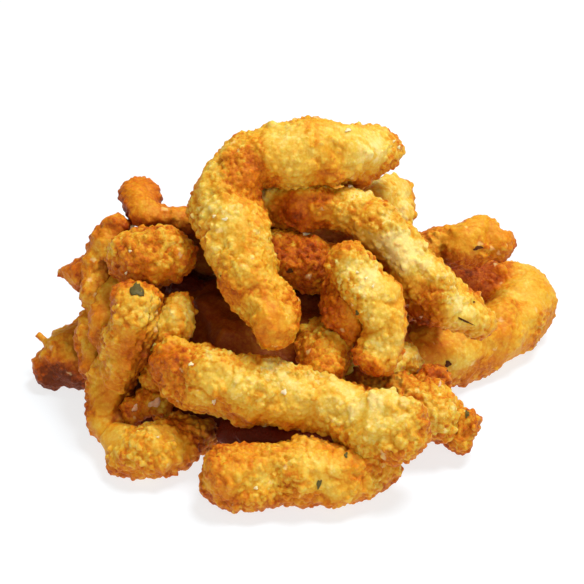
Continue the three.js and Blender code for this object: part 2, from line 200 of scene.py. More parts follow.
# Long swells: the axis that each runs along and its pace, and how far which other axis
# bends it at which pace.
LUMP_HEIGHT = 0.5
LUMP_LENGTH = 11.0
SWELLS = ((0, 1.0, 1.7, 1, 0.6), (1, 1.1, 1.3, 2, 0.7), (2, 0.9, 1.9, 0, 0.5))

# Rough relief is a divided sum. Of each term: its share, how much finer it is, its own number.
OCTAVES = ((1.0, 1.0, 0), (0.5, 2.1, 3), (0.25, 4.3, 5))
OCTAVE_DIVISOR = 1.4

# Numbers that turn a place and a seed into a random value.
SEED_SHIFT = np.array([7.31, 3.77, 5.13])
PLACE_FACTORS = (73856093, 19349663, 83492791)
MIX_FACTORS = (1103515245, 69069)
MIX_EXTRAS = (12345, 1)
LOW_31_BITS = 0x7FFFFFFF
LOW_16_BITS = 0xFFFF

# Bites with a more ragged outline than the rest, or less: a factor on their finer lumps.
RUGGED = {"frill": 2.2, "tuft": 2.4, "curl": 2.0, "stub": 1.4, "block": 1.5, "frond": 2.2, "tab": 2.0,
          "loop": 1.4, "base": 1.5, "front": 1.5, "claw": 1.4, "slope": 1.3, "lump": 1.5, "rise": 1.3,
          "wedge": 1.3, "hook": 0.6, "spur": 0.7, "boot": 0.9}


def unit(ways):
    """The same ways, each of length 1."""
    return ways / np.maximum(np.linalg.norm(ways, axis=-1, keepdims=True), TINY)


def sight_line(across, up):
    """The way in mm from the onlooker to a point of the picture plane."""
    return LOOK_DISTANCE * FORWARD + across * RIGHT + up * UPWARD


def sight_at(x, y):
    """The way from the onlooker through a pixel of the picture."""
    half = PICTURE_SIDE / 2
    return sight_line((x - half) / PIXELS_PER_MM, (half - y) / PIXELS_PER_MM)


def place_seen(point):
    across, up, height = point
    sight = sight_line(across, up)
    return ONLOOKER + sight * (height - ONLOOKER[2]) / sight[2]


def true_scale(points):
    """How much larger than in the picture plane things at these points really are."""
    return (points - ONLOOKER) @ FORWARD / LOOK_DISTANCE


def smooth_path(points, steps):
    """A smooth curve through all the points, with this many steps from each to the next."""
    knots = np.vstack([2 * points[:1] - points[1:2], points, 2 * points[-1:] - points[-2:-1]])
    at = np.linspace(0, len(points) - 1, steps * (len(points) - 1) + 1)
    k = np.minimum(at.astype(int), len(points) - 2)
    f = (at - k)[:, None]
    a, b, c, d = knots[k], knots[k + 1], knots[k + 2], knots[k + 3]
    return 0.5 * (2 * b + (c - a) * f + (2 * a - 5 * b + 4 * c - d) * f ** 2
                  + (3 * b - a - 3 * c + d) * f ** 3)


def smooth_lumps(p):
    turn = 2 * math.pi / LUMP_LENGTH
    total = 0.0
    for axis, pace, bend, other, other_pace in SWELLS:
        bent = bend * np.sin(p[..., other] * turn * other_pace)
        total = total + np.sin(p[..., axis] * turn * pace + bent)
    return total / 2


def noise(p, length, seed):
    """Smooth random relief from -1 to 1, with features about length mm across."""
    q = p / length + seed * SEED_SHIFT
    whole = np.floor(q).astype(np.int64)
    f = q - whole
    w = f * f * f * (f * (f * 6 - 15) + 10)
    total = 0.0
    for corner in itertools.product((0, 1), repeat=3):
        h = 0
        for axis, step in enumerate(corner):
            h = h ^ ((whole[..., axis] + step) * PLACE_FACTORS[axis])
        h = h & LOW_31_BITS
        h = (h * MIX_FACTORS[0] + MIX_EXTRAS[0]) & LOW_31_BITS
        h = ((h >> 8) * MIX_FACTORS[1] + MIX_EXTRAS[1]) & LOW_31_BITS
        value = (h & LOW_16_BITS) / (LOW_16_BITS / 2) - 1
        for axis, step in enumerate(corner):
            value = value * (w[..., axis] if step else 1 - w[..., axis])
        total = total + value
    return total


def relief(p, kind, seed):
    height, length, own = kind
    return height * noise(p, length, seed + own)


def rough_relief(p, kind, seed):
    height, length, own = kind
    total = 0.0
    for share, finer, extra in OCTAVES:
        total = total + share * noise(p, length / finer, seed + own + extra)
    return height * (total / OCTAVE_DIVISOR)


def folds(p, seed):
    """Narrow creases between the lumps of a crust, from 0 to 1."""
    return np.clip(1 - np.abs(relief(p, FOLDS, seed)) / FOLD_WIDTH, 0, 1)


def taper(share, ends):
    first = np.maximum(0, 1 - share / TAPER_SHARE) ** TAPER_POWER
    last = np.maximum(0, 1 - (1 - share) / TAPER_SHARE) ** TAPER_POWER
    return 1 - (1 - ends[0]) * first - (1 - ends[1]) * last


def spine(bite, seen):
    """Centres, radii and directions of the rings along a bite."""
    path = np.array(bite["path"], float)
    points = np.array([place_seen(p) for p in path[:, :3]]) if seen else path[:, :3]
    fine = smooth_path(points, PATH_STEPS)
    steps = np.linalg.norm(np.diff(fine, axis=0), axis=1)
    arc = np.concatenate([[0], np.cumsum(steps)])
    count = max(LEAST_RINGS, int(round(arc[-1] / RING_SPACING)))
    share = np.linspace(0, 1, count + 1)
    centre = np.stack([np.interp(share * arc[-1], arc, fine[:, k]) for k in range(3)], axis=1)
    place = np.interp(share * arc[-1], arc, np.linspace(0, len(points) - 1, len(fine)))
    radius = bite["thick"] / 2 * taper(share, bite.get("ends", FRONT_ENDS if seen else BACK_ENDS))
    radius = radius * np.interp(place, np.arange(len(points)), path[:, 3])
    if seen:
        radius = radius * true_scale(centre)
    return centre, radius, unit(np.gradient(centre, axis=0))


def tube(name, bite, seen, seed):
    """The bite without its crumbs: its centres, its radii and a grid of rings and sides."""
    centre, radius, along = spine(bite, seen)
    beyond = np.array(END_RINGS)
    head = centre[0] - along[0] * END_BULGE * radius[0] * beyond[:, None]
    tail = centre[-1] + along[-1] * END_BULGE * radius[-1] * beyond[::-1, None]
    shrink = np.sqrt(1 - beyond ** END_ROUNDNESS)
    centre = np.vstack([head, centre, tail])
    radius = np.concatenate([radius[0] * shrink, radius, radius[-1] * shrink[::-1]])
    along = np.pad(along, ((len(beyond), len(beyond)), (0, 0)), "edge")
    side = np.cross(along[0], SIDE_HINT)
    side /= np.linalg.norm(side)
    sides = []
    for direction in along:
        side = side - direction * (side @ direction)
        side = side / np.linalg.norm(side)
        sides.append(side)
    sides = np.array(sides)
    others = np.cross(along, sides)
    count = max(LEAST_SIDES, int(round(2 * math.pi * radius.max() / SIDE_SPACING)))
    turn = np.linspace(0, 2 * math.pi, count, endpoint=False)
    away = sides[:, None] * np.cos(turn)[:, None] + others[:, None] * np.sin(turn)[:, None]
    depth = np.maximum(radius - CRUST_DEPTH, radius * LEAST_SHARE)
    grid = centre[:, None] + away * depth[:, None, None]
    fade = np.minimum(1, radius / FULL_RADIUS)[:, None]
    rugged = RUGGED.get(name, 1.0)
    raised = rugged * (relief(grid, BUMPS, seed) + relief(grid, DENTS, seed))
    raised = LUMP_HEIGHT * smooth_lumps(grid) + raised - FOLD_DEPTH * rugged * folds(grid, seed)
    grid = grid + away * (raised * fade)[..., None]
    return centre, radius, grid


def grid_triangles(rows, columns):
    """The triangles between the rings of a grid whose columns close round."""
    a = np.arange((rows - 1) * columns).reshape(-1, columns)
    b = np.roll(a, -1, axis=1)
    d, e = a + columns, b + columns
    return np.concatenate([np.stack(t, -1).reshape(-1, 3) for t in ((a, b, e), (a, e, d))])


def ball(level):
    """The points and triangles of a ball of radius 1."""
    bm = bmesh.new()
    bmesh.ops.create_icosphere(bm, subdivisions=level, radius=1.0)
    verts = np.array([v.co[:] for v in bm.verts])
    tris = np.array([[v.index for v in f.verts] for f in bm.faces])
    bm.free()
    return verts, tris


# Crumbs are balls whose points are moved in and out, in this many kinds.
ROCK_KINDS = 16
ROCK_JITTER = 0.16
ROCK_STRETCH = (0.72, 1.28)


def rock_kinds(level, seed):
    rng = np.random.default_rng(seed)
    verts, tris = ball(level)
    jitter = rng.uniform(1 - ROCK_JITTER, 1 + ROCK_JITTER, (ROCK_KINDS, len(verts), 1))
    return verts[None] * jitter, tris


SMALL_ROCKS = rock_kinds(level=1, seed=5)
LARGE_ROCKS = rock_kinds(level=2, seed=6)

# The crumbs of a bite: how many lie on a square mm, the shares kept where it is smooth and
# where it is crumbly, the usual size in mm with its spread and limits, the share of that size
# where it is smooth and what is added where it is crumbly, and how far out the middle of a
# crumb is, in sizes: its range, what is added where it is crumbly, and what is taken off.
GRAINS = dict(rocks=SMALL_ROCKS, density=1.75, kept=(0.6, 0.95), size=0.48, spread=0.27,
              limits=(0.3, 0.9), grow=(0.9, 0.2), lift=(-0.1, 0.7), stand=0.6, sunk=0.45)
LARGE_CRUMBS = dict(rocks=LARGE_ROCKS, density=0.36, kept=(0.4, 0.8), size=0.8, spread=0.25,
                    limits=(0.5, 1.4), grow=(1.0, 0.0), lift=(-0.4, 0.3), stand=0.4, sunk=0.35)

# A cluster is a large crumb with small ones heaped round it: reach is how far from its
# middle they lie, in sizes, and drop the share of what is past one size that they sink back.
CLUSTERS = dict(density=0.08, kept=(0.1, 0.7), size=(0.8, 1.5), grow=(0.6, 0.4), sunk=0.4,
                heaped=12, reach=(0.8, 1.35), drop=0.35, small=(0.36, 0.7))


def turns(rng, count):
    """Random turns in space, as matrices."""
    w, x, y, z = unit(rng.normal(size=(count, 4))).T
    return np.stack([
        1 - 2 * (y * y + z * z), 2 * (x * y - z * w), 2 * (x * z + y * w),
        2 * (x * y + z * w), 1 - 2 * (x * x + z * z), 2 * (y * z - x * w),
        2 * (x * z - y * w), 2 * (y * z + x * w), 1 - 2 * (x * x + y * y),
    ], axis=1).reshape(-1, 3, 3)


def rocks(kinds, centres, radii, rng):
    shapes, tris = kinds
    count = len(centres)
    pick = shapes[rng.integers(len(shapes), size=count)]
    stretch = rng.uniform(*ROCK_STRETCH, (count, 1, 3))
    verts = np.einsum("nij,nvj->nvi", turns(rng, count), pick * stretch) * radii[:, None, None]
    verts = verts + centres[:, None]
    faces = tris[None] + (np.arange(count) * shapes.shape[1])[:, None, None]
    return verts.reshape(-1, 3), faces.reshape(-1, 3)


def surface_points(verts, tris, density, rng):
    """Random points on the triangles, and the way out of each."""
    a, b, c = verts[tris.T]
    cross = np.cross(b - a, c - a)
    area = np.linalg.norm(cross, axis=1) / 2
    count = int(area.sum() * density)
    pick = rng.choice(len(tris), size=count, p=area / area.sum())
    u, v = rng.random(count), rng.random(count)
    flip = u + v > 1
    u, v = np.where(flip, 1 - u, u), np.where(flip, 1 - v, v)
    at = a[pick] + (b - a)[pick] * u[:, None] + (c - a)[pick] * v[:, None]
    return at, unit(cross[pick])


def stack(parts):
    """Several meshes as one."""
    verts, tris, base = [], [], 0
    for v, t in parts:
        verts.append(v)
        tris.append(t + base)
        base += len(v)
    return np.vstack(verts), np.vstack(tris)


def rising(pair, crumbly):
    """The first value where the crust is smooth, with the second added where it is crumbly."""
    return pair[0] + pair[1] * crumbly


def crumbs_on(verts, tris, rng, layout, coarse):
    """The crumbs of a bare bite: their mesh, their middles and their sizes."""
    parts, centres, sizes = [], [], []

    def lay(kinds, at, size):
        parts.append(rocks(kinds, at, size, rng))
        centres.append(at)
        sizes.append(size)

    def scattered(crumb):
        at, out = surface_points(verts, tris, crumb["density"], rng)
        crumbly, bare = layout.crumbly_at(at), layout.bare_at(at)
        least, most = crumb["kept"]
        keep = rng.random(len(at)) < (least + (most - least) * crumbly) * (1 - bare)
        return at[keep], out[keep], crumbly[keep]

    for crumb in (GRAINS, LARGE_CRUMBS):
        at, out, crumbly = scattered(crumb)
        size = rng.lognormal(math.log(crumb["size"]), crumb["spread"], len(at))
        size = np.clip(size, *crumb["limits"]) * rising(crumb["grow"], crumbly) * coarse
        lift = rng.uniform(*crumb["lift"], len(at)) + crumb["stand"] * crumbly - crumb["sunk"]
        lay(crumb["rocks"], at + out * (lift * size)[:, None], size)

    at, out, crumbly = scattered(CLUSTERS)
    if len(at):
        size = rng.uniform(*CLUSTERS["size"], len(at)) * rising(CLUSTERS["grow"], crumbly) * coarse
        at = at - out * (CLUSTERS["sunk"] * size)[:, None]
        lay(LARGE_ROCKS, at, size)
        spin = unit(rng.normal(size=(len(at), CLUSTERS["heaped"], 3)))
        reach = rng.uniform(*CLUSTERS["reach"], (*spin.shape[:2], 1)) * size[:, None, None]
        near = at[:, None] + spin * reach
        near = near - out[:, None] * (CLUSTERS["drop"] * (reach - size[:, None, None]))
        near = near.reshape(-1, 3)
        lay(SMALL_ROCKS, near, rng.uniform(*CLUSTERS["small"], len(near)) * coarse)
    return stack(parts), np.vstack(centres), np.concatenate(sizes)


def placed(name, data):
    thing = bpy.data.objects.new(name, data)
    bpy.context.scene.collection.objects.link(thing)
    return thing


def raw_mesh(name, verts, faces):
    mesh = bpy.data.meshes.new(name)
    mesh.vertices.add(len(verts))
    mesh.vertices.foreach_set("co", np.ascontiguousarray(verts, dtype=np.float32).ravel())
    mesh.loops.add(faces.size)
    mesh.loops.foreach_set("vertex_index", faces.astype(np.int32).ravel())
    mesh.polygons.add(len(faces))
    starts = np.arange(0, faces.size, faces.shape[1], dtype=np.int32)
    mesh.polygons.foreach_set("loop_start", starts)
    mesh.update(calc_edges=True)
    return mesh


def fuse(verts, tris, voxel):
    """One closed skin round all the lumps, with the kept share of its faces."""
    mesh = raw_mesh("lumps", verts, tris)
    holder = placed("lumps", mesh)
    remesh = holder.modifiers.new("remesh", "REMESH")
    remesh.mode = "VOXEL"
    remesh.voxel_size = voxel
    soften = holder.modifiers.new("soften", "SMOOTH")
    soften.factor = SOFTEN
    soften.iterations = 1
    thin = holder.modifiers.new("thin", "DECIMATE")
    thin.ratio = FACES_KEPT
    thin.use_collapse_triangulate = True
    done = holder.evaluated_get(bpy.context.evaluated_depsgraph_get()).to_mesh()
    co = np.empty(len(done.vertices) * 3, dtype=np.float32)
    done.vertices.foreach_get("co", co)
    done.calc_loop_triangles()
    index = np.empty(len(done.loop_triangles) * 3, dtype=np.int32)
    done.loop_triangles.foreach_get("vertices", index)
    holder.to_mesh_clear()
    bpy.data.objects.remove(holder)
    bpy.data.meshes.remove(mesh)
    return co.reshape(-1, 3).astype(float), index.reshape(-1, 3)


def largest_skin(verts, tris):
    """Only the largest of the skins, without the small ones round hollows inside."""
    start, stop = np.vstack([tris[:, :2], tris[:, 1:]]).T
    label = np.arange(len(verts))
    while True:
        before = label.copy()
        low = np.minimum(label[start], label[stop])
        np.minimum.at(label, start, low)
        np.minimum.at(label, stop, low)
        label = label[label]
        if (label == before).all():
            break
    names, counts = np.unique(label, return_counts=True)
    keep = label == names[counts.argmax()]
    number = np.cumsum(keep) - 1
    return verts[keep], number[tris[keep[tris[:, 0]]]]


def vertex_normals(verts, tris):
    a, b, c = verts[tris.T]
    cross = np.cross(b - a, c - a)
    normals = np.zeros_like(verts)
    for k in range(3):
        np.add.at(normals, tris[:, k], cross)
    return unit(normals)


def show(name, verts, faces, material, attributes):
    """Makes a piece of the heap, with the named values kept at its points."""
    mesh = raw_mesh(name, (verts + HEAP_SHIFT) * MM, faces)
    mesh.shade_smooth()
    for key, values in attributes.items():
        layer = mesh.attributes.new(key, "FLOAT", "POINT")
        layer.data.foreach_set("value", values.astype(np.float32))
    mesh.materials.append(material)
    piece = placed(name, mesh)
    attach(piece, "root")
    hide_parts("heap")


# Materials

# How brown a point of the crust looks is the value kept there, with a share of each of these patterns
# added and the shift taken off. The granule share browns the gaps between granules, where the bump sinks:
# partly painted shade.
BLOTCH_SHARE = 0.2
SPECK_SHARE = 0.08
GRANULE_GAP_SHADE_SHARE = 0.12
CELL_SHARE = 0.1
TONE_SHIFT = 0.24
CRUST_COLOURS = ((0.0, (243, 221, 140)), (0.2, (232, 196, 80)), (0.4, (225, 164, 38)),
                 (0.6, (214, 126, 13)), (0.8, (180, 80, 3)), (1.0, (108, 38, 2)))

# Between other bites the crust is painted with shade: it turns to this dark painted shade colour over
# this range of closeness.
PAINTED_SHADE_COLOUR = (98, 22, 2)
PAINTED_SHADE_RANGE = {"From Min": 0.45, "From Max": 0.95}
# Pale crumbs, partly painted glints.
PALE_AND_GLINT_COLOUR = (255, 236, 170)
ROUGHNESS_RANGE = {"To Min": 0.34, "To Max": 0.72}

# The finest grain: how strong from smooth to crumbly, how high in metres, and what the granules
# add to it.
GRAIN_RANGE = {"To Min": 0.25, "To Max": 0.75}
GRAIN_HEIGHT = 0.0004
GRANULE_HEIGHT = -0.9


def srgb(r, g, b):
    def one(c):
        c = c / 255
        return c / 12.92 if c <= 0.04045 else ((c + 0.055) / 1.055) ** 2.4
    return one(r), one(g), one(b), 1.0


def set_inputs(node, values):
    for key, value in values.items():
        node.inputs[key].default_value = value


def new_material(name):
    material = bpy.data.materials.new(name)
    material.use_nodes = True
    nodes, links = material.node_tree.nodes, material.node_tree.links
    nodes.clear()
    shader = nodes.new("ShaderNodeBsdfPrincipled")
    output = nodes.new("ShaderNodeOutputMaterial")
    links.new(shader.outputs["BSDF"], output.inputs["Surface"])
    return material, nodes, links, shader


def crust_material():
    """The golden crust. It reads the values toast, crumbly, pale and closed of the mesh: pale is partly
    painted glints, and closed is painted shade between bites.
    """
    material, nodes, links, shader = new_material("crumb_crust")
    place = nodes.new("ShaderNodeTexCoord")

    def kept_value(name):
        node = nodes.new("ShaderNodeAttribute")
        node.attribute_name = name
        return node.outputs["Fac"]

    def texture(kind, inputs):
        node = nodes.new(kind)
        links.new(place.outputs["Object"], node.inputs["Vector"])
        set_inputs(node, inputs)
        return node.outputs

    def sum_of(first, second, amount):
        node = nodes.new("ShaderNodeMath")
        node.operation = "MULTIPLY_ADD"
        links.new(second, node.inputs[0])
        node.inputs[1].default_value = amount
        links.new(first, node.inputs[2])
        return node.outputs[0]

    def mapped(value, inputs, kind="LINEAR"):
        node = nodes.new("ShaderNodeMapRange")
        node.interpolation_type = kind
        links.new(value, node.inputs["Value"])
        set_inputs(node, inputs)
        return node.outputs["Result"]

    def mixed(share, first, colour):
        node = nodes.new("ShaderNodeMix")
        node.data_type = "RGBA"
        links.new(share, node.inputs["Factor"])
        links.new(first, node.inputs["A"])
        node.inputs["B"].default_value = srgb(*colour)
        return node.outputs["Result"]

    def clouds(scale, detail, roughness):
        inputs = {"Scale": scale, "Detail": detail, "Roughness": roughness}
        return texture("ShaderNodeTexNoise", inputs)["Fac"]

    blotch = clouds(scale=420, detail=4.0, roughness=0.65)
    speck = clouds(scale=1700, detail=3.0, roughness=0.6)
    grit = clouds(scale=3200, detail=3.0, roughness=0.6)
    granule = texture("ShaderNodeTexVoronoi", {"Scale": 1450})
    cell = nodes.new("ShaderNodeSeparateColor")
    links.new(granule["Color"], cell.inputs["Color"])

    tone = kept_value("toast")
    # The granule pattern browns the gaps between granules: partly painted shade.
    for pattern, share in ((blotch, BLOTCH_SHARE), (speck, SPECK_SHARE),
                           (granule["Distance"], GRANULE_GAP_SHADE_SHARE), (cell.outputs["Red"], CELL_SHARE)):
        tone = sum_of(tone, pattern, share)
    shift = nodes.new("ShaderNodeMath")
    shift.operation = "SUBTRACT"
    shift.use_clamp = True
    links.new(tone, shift.inputs[0])
    shift.inputs[1].default_value = TONE_SHIFT
    ramp = nodes.new("ShaderNodeValToRGB")
    links.new(shift.outputs[0], ramp.inputs["Fac"])
    elements = ramp.color_ramp.elements
    for element, (position, colour) in zip(elements, (CRUST_COLOURS[0], CRUST_COLOURS[-1])):
        element.position, element.color = position, srgb(*colour)
    for position, colour in CRUST_COLOURS[1:-1]:
        elements.new(position).color = srgb(*colour)

    # Painted shade: where other bites crowd round a point, the crust turns dark red-brown.
    closed = mapped(kept_value("closed"), PAINTED_SHADE_RANGE, "SMOOTHSTEP")
    colour = mixed(closed, ramp.outputs["Color"], PAINTED_SHADE_COLOUR)
    # Pale crumbs, partly painted glints.
    colour = mixed(kept_value("pale"), colour, PALE_AND_GLINT_COLOUR)
    links.new(colour, shader.inputs["Base Color"])
    links.new(mapped(speck, ROUGHNESS_RANGE), shader.inputs["Roughness"])

    bump = nodes.new("ShaderNodeBump")
    bump.inputs["Distance"].default_value = GRAIN_HEIGHT
    links.new(mapped(kept_value("crumbly"), GRAIN_RANGE), bump.inputs["Strength"])
    links.new(sum_of(grit, granule["Distance"], GRANULE_HEIGHT), bump.inputs["Height"])
    links.new(bump.outputs["Normal"], shader.inputs["Normal"])
    set_inputs(shader, {"Subsurface Weight": 0.75, "Subsurface Radius": (1.0, 0.5, 0.18),
                        "Subsurface Scale": 0.0016, "IOR": 1.45, "Specular IOR Level": 0.32,
                        "Specular Tint": (1.0, 0.88, 0.66, 1.0)})
    return material


CRUST = crust_material()

# The camera looks as the onlooker does.
SENSOR = 36.0
camera_data = bpy.data.cameras.new("camera")
camera_data.sensor_width = SENSOR
camera_data.sensor_height = SENSOR
camera_data.lens = SENSOR * LOOK_DISTANCE * PIXELS_PER_MM / PICTURE_SIDE
camera_data.clip_start = 0.01
camera_data.clip_end = 20
camera = placed("camera", camera_data)
camera.location = Vector((ONLOOKER + HEAP_SHIFT) * MM)
camera.rotation_euler = (math.pi / 2 - LOOK_DOWN, 0, 0)
bpy.context.scene.camera = camera

# The skin of a bite is built from small cubes with this side in mm, smoothed a little, and
# keeps a share of its faces. The factors make the cubes of some bites larger or smaller.
VOXEL = 0.32
BACK_COARSER = 1.5
HIDDEN_COARSER = 2.0
CORE_COARSER = 2.4
SHARPER = 0.88
SOFTER = 1.25
SOFT_ENOUGH = 0.6
SOFTEN = 0.5
FACES_KEPT = 0.48
HIDDEN = ("inner", "nook", "under", "back_cross")
SHARP = ("arch", "front", "slope", "loop", "block", "base", "claw", "tab", "stub", "limb", "mid",
         "frill", "tuft", "curl", "frond")

# Bites whose crumbs are finer and lie flatter, up to 1, or stand up more, below 0.
SOFT = {"hook": 1.0, "spur": 0.8, "heel": 0.8, "wedge": 0.8, "rise": 0.8, "nape": 0.7, "fin": 0.8,
        "slat": 0.8, "boot": 0.7, "arch": 0.4, "slope": 0.3, "bud": 1.0, "block": -0.8, "tab": -0.5,
        "frill": -0.4, "tuft": -0.6, "curl": -0.6, "frond": -0.8, "front": -0.2, "stub": -0.2}
SOFT_FINER = 0.15

# The way that the pale side of a front bite faces, up towards the light and the onlooker, and what turns
# a way to the back. The pale side is partly painted light. Away from it the edge value rises between its
# limits, and near the ends of a bite the end value rises.
PALE_LIT_SIDE = np.array([0.05, -0.6, 0.8])
TO_THE_BACK = np.array([1, -1, 1])
EDGE_MIDDLE = 0.8
EDGE_LIMITS = (-0.1, 1.1)
CORE_EDGE = 0.4
END_REACH = 9.0

# How crumbly the crust is: large and small patches, and what an edge and an end add and
# softness takes off.
PATCHES = (0.85, 8.5, 24)
SMALL_PATCHES = (0.4, 4.0, 25)
CRUMBLY_START = 0.4
CRUMBLY_EDGE = 0.4
CRUMBLY_END = 0.25
CRUMBLY_SOFT = 0.45

# The patches that the picture shows have wavering rims and end at a share of their reach.
BARE_RIM = (0.25, 4.0, 26)
BARE_END = 1.1
BARE_STEEPNESS = 3.2
BROWN_RIM = (0.25, 3.0, 44)
BROWN_END = 1.35
BROWN_POWER = 1.3

# What makes the crust browner, some of it painted shade. A pair is the amount where it is smooth and what
# is added where it is crumbly. A crumb is browner below a level share of its size, partly painted shade
# in the gaps between crumbs, and paler above, partly painted light on its tip.
TOAST_SHIFT = -0.04
CRUMBLY_BROWN = 0.2
CRUMBLY_MIDDLE = 0.5
BLOTCHES = (0.17, 9.0, 41)
MOTTLES = (1.0, 3.6, 42)
MOTTLE_BROWN = (0.06, 0.14)
CRUMB_BROWN = (0.03, 0.1)
SUNK_BROWN_AND_SHADE = (0.08, 0.11)
LEVEL_SHARE = 0.6
# The creases between lumps are browner: partly painted shade in them.
FOLD_BROWN_AND_SHADE = 0.12
UNEVEN = (0.7, 5.0, 43)
# Sides turned from the pale side are browner: partly real browning at the edges, partly painted shade on
# the sides turned from the light above.
SIDE_BROWN_AND_SHADE = 0.16
RIM_BROWN_AND_SHADE = 0.12
RIM_STEEPNESS = 2.2
RIM_START = 0.4
END_BROWN = 0.12

# Browning above the knee is held back, so that few crumbs go really dark.
BROWN_KNEE = 0.62
PAST_KNEE = 0.45

# A few crumbs are paler than the rest: partly real pale crumbs, partly painted glints on single crumbs.
PALE_AND_GLINT_SHARE = 0.005
PALE_AND_GLINT_AMOUNT = 0.45

# The finest relief of the skin.
SKIN = (0.05, 0.7, 31)
FIRST_SEED = 1000

# Bites whose edges are less brown, and less painted with shade, than those of the rest.
EDGE_BROWN_AND_SHADE = {"arch": 0.5, "slope": 0.8, "hook": 0.8, "front": 0.85, "tab": 0.5, "base": 0.7, "loop": 0.8}

# Factors on the painted shade between bites: below 1 a bite gets less of it than the rest, above 1 more.
PAINTED_SHADE_FACTORS = {"tab": 0.1, "limb": 0.4, "lump": 0.15, "curl": 0.3, "slat": 0.6, "stub": 0.5,
          "block": 0.7, "frond": 0.35, "fin": 0.7, "nape": 0.6, "rib": 0.5, "front": 0.7, "mid": 0.75,
          "claw": 0.7, "slope": 0.8, "hook": 0.8, "arch": 0.72, "under": 3.2, "nook": 1.5, "deep": 1.3}

# Where the room round a point is measured for the painted shade, balls stand in for the other bites, one
# every few rings. Those farther off than the reach or smaller than the least radius are left out.
BALL_EVERY = 4
BALL_SPACING = BALL_EVERY * RING_SPACING
CROWD_REACH = 25.0
LEAST_BALL = 1.0
FACING_START = 0.25

SHAPES = {}
for number, (name, bite) in enumerate([*FRONT_BITES.items(), *BACK_BITES.items()], start=1):
    SHAPES[name] = (number, bite, *tube(name, bite, name in FRONT_BITES, number))


def core_shape():
    away, tris = ball(CORE_LEVEL)
    verts = away * CORE_RADII + CORE_CENTRE
    return verts + away * (CORE_LUMP * smooth_lumps(verts))[:, None], tris


def painted_shade_crowding(points, normals, own_name):
    """How much of the view out from each point the other bites take up, from 0 to 1, which sets its
    painted shade.
    """
    total = np.zeros(len(points))
    low, high = points.min(0) - CROWD_REACH, points.max(0) + CROWD_REACH
    for name, (_, _, centre, radius, _) in SHAPES.items():
        if name == own_name:
            continue
        inside = ((centre > low) & (centre < high)).all(1)
        for middle, size in zip(centre[inside][::BALL_EVERY], radius[inside][::BALL_EVERY]):
            if size < LEAST_BALL:
                continue
            to = middle - points
            gap = np.linalg.norm(to, axis=1)
            facing = (to * normals).sum(1) / np.maximum(gap, TINY) + FACING_START
            near = size * BALL_SPACING / (2 * np.maximum(gap, size) ** 2)
            total += np.clip(facing, 0, 1) * near
    return 1 - np.exp(-total)


# Where the picture shows a patch browner or paler than the rest of its bite: the pixel, how far the patch
# reaches in mm and how much browner it is. The patches are partly the bites' own tone and partly light
# and shade: painted shade in shadowed places, such as where the heel meets the table, and painted light
# on lit tops.
TONE_AND_SHADE_SPOTS = [
    (280, 210, 7, 0.4), (305, 215, 6.5, 0.38), (330, 195, 6, 0.12), (378, 228, 4.5, 0.16),
    (402, 245, 9, -0.22), (160, 366, 5.8, 0.42), (300, 372, 12, -0.05), (362, 368, 5, 0.3),
    (330, 305, 5, 0.24), (140, 262, 6, 0.2), (250, 172, 7.5, 0.36), (330, 178, 5, 0.16),
    (225, 290, 5, 0.2), (265, 340, 5, 0.16), (372, 145, 9, -0.08), (215, 208, 8, -0.08),
    (425, 300, 6, 0.22), (395, 280, 5, 0.16), (118, 226, 5, 0.3), (76, 262, 5, 0.25),
    (135, 350, 6, 0.26), (152, 312, 6, -0.14), (180, 305, 4, -0.1), (465, 276, 7, 0.45),
    (490, 272, 6, 0.35), (508, 335, 5, 0.16), (432, 380, 3.5, 0.3), (455, 432, 4, -0.12),
    (345, 335, 5, 0.25), (305, 262, 9, 0.3), (215, 480, 6, 0.16), (330, 446, 5, 0.2),
    (270, 482, 7, -0.08), (180, 422, 4, 0.22), (388, 412, 8, -0.12), (430, 340, 8, 0.3),
    (345, 408, 7, -0.1), (150, 460, 7, -0.06), (58, 384, 7, 1.3), (480, 285, 7, 0.3),
    (430, 320, 6, 0.25), (428, 365, 6, 0.12), (103, 412, 9, 0.12), (270, 150, 6, -0.06),
    (365, 282, 6, -0.12), (185, 372, 5, 0.14), (250, 150, 8, 0.06), (467, 305, 5, -0.2),
    (395, 197, 6, -0.16), (377, 150, 6, -0.16), (290, 198, 5, 0.35), (322, 194, 4.5, 0.25),
    (102, 400, 8, 0.06), (310, 128, 9, 0.1), (100, 205, 5, 0.1), (160, 392, 5, 0.25),
    (175, 350, 4, 0.3), (245, 425, 6, 0.14), (360, 455, 6, 0.16), (300, 430, 6, 0.1),
    (262, 300, 6, 0.12), (196, 330, 5, 0.1), (250, 455, 6, 0.16), (320, 462, 5, -0.12),
    (250, 372, 6, -0.14), (285, 390, 5, -0.08), (362, 268, 4, -0.06), (207, 432, 5, 0.3),
]

# Where the picture shows smooth batter with few crumbs or none: the pixel, the reach in mm
# and the share of the crumbs that is missing.
BARE_SPOTS = [
    (108, 428, 8, 1), (104, 398, 5, 1), (186, 446, 4, 1), (404, 250, 5, 0.6), (345, 135, 9, 0.7),
    (300, 128, 8, 0.6), (375, 145, 6, 0.7), (225, 215, 7, 0.5), (372, 408, 9, 0.7), (345, 395, 7, 0.6),
    (395, 425, 7, 0.5), (240, 375, 6, 0.4), (345, 478, 7, 0.5), (420, 275, 6, 0.5), (380, 300, 6, 0.4),
    (270, 330, 6, 0.4),
]


def seen_at(x, y):
    """The name of the bite that shows at a pixel of the picture, and the point on it."""
    sight = unit(sight_at(x, y))
    found = (math.inf, None, None)
    for name, (_, _, centre, radius, _) in SHAPES.items():
        to = centre - ONLOOKER
        along = to @ sight
        inside = radius ** 2 - (to ** 2).sum(1) + along ** 2
        if not (inside > 0).any():
            continue
        near = (along - np.sqrt(np.maximum(inside, 0)))[inside > 0].min()
        if near < found[0]:
            found = (near, name, ONLOOKER + sight * near)
    return found[1], found[2]


